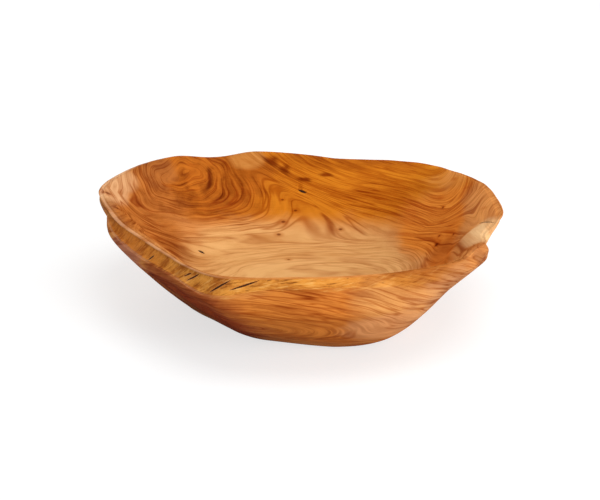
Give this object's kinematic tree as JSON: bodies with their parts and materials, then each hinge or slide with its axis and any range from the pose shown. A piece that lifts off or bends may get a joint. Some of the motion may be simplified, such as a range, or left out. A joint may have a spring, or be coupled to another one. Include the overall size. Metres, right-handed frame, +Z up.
{
  "type": "root-wood bowl",
  "caption": "Free-form carved wooden bowl with a broad natural edge, a flared lip, a flat foot and hardened filler in its drying checks.",
  "frame": {"origin": "on the table plane under the foot, below the middle of the bowl's outline seen from above", "axes": "+Z up from the foot to the rim; +X along the bowl's length, towards the flared lip; -Y towards the broad natural edge"},
  "size_m": [0.3566, 0.3068, 0.0917],
  "materials": {
    "root_wood": "satin clear lacquer over swirling orange-brown root wood",
    "filler": "dark brown hardened filler, sanded flush and lacquered over"
  },
  "bodies": {
    "root": {"bowl_body": "root_wood", "edge_check_fill_1": "filler", "edge_check_fill_2": "filler", "edge_check_fill_3": "filler", "edge_check_fill_4": "filler", "edge_check_fill_5": "filler", "lip_check_fill": "filler", "floor_knot_fill": "filler", "wall_knot_fill": "filler"}
  },
  "joints": []
}
